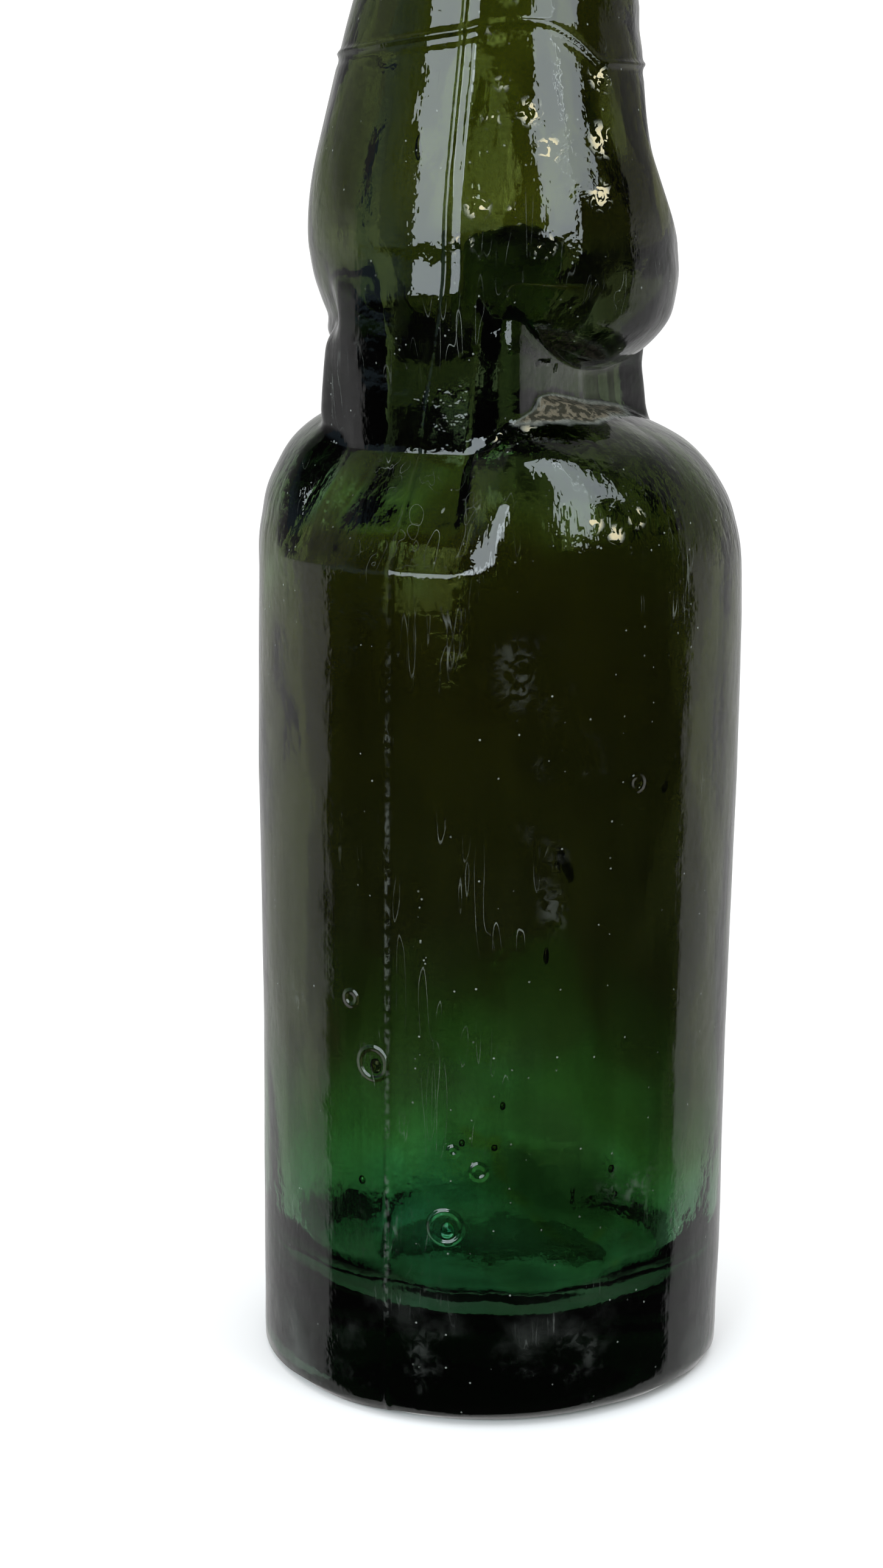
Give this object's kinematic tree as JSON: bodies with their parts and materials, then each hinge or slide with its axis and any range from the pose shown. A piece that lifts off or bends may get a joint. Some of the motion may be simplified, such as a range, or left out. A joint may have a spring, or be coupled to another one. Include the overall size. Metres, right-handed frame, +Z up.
{
  "type": "marble stopper bottle",
  "caption": "Round soda bottle of dark green glass with a pinched waist, a chamber that holds a loose glass marble, and an applied lip with a rubber ring that the marble seals against.",
  "frame": {"origin": "centre of the foot, on the plane that the bottle stands on", "axes": "+Z up along the bottle's axis to the mouth, -Y out of the front pocket of the waist, +X between the two catch dents of the chamber"},
  "size_m": [0.0624, 0.0624, 0.2219],
  "materials": {
    "bottle_glass": "thick dark olive green glass with a hammered moulded surface, seeds and fine scratches",
    "lip_glass": "dark olive green glass, fire polished and tooled",
    "ring_rubber": "aged red-brown rubber",
    "marble_glass": "pale green glass with light wear"
  },
  "bodies": {
    "glass": {"bottle": "bottle_glass", "applied_lip": "lip_glass", "rubber_ring": "ring_rubber"},
    "marble": {"marble": "marble_glass"}
  },
  "joints": [
    {"name": "marble_rise", "type": "slide", "parent": "glass", "child": "marble", "axis": [0, 0, 1], "range_m": [0, 0.05887]}
  ]
}
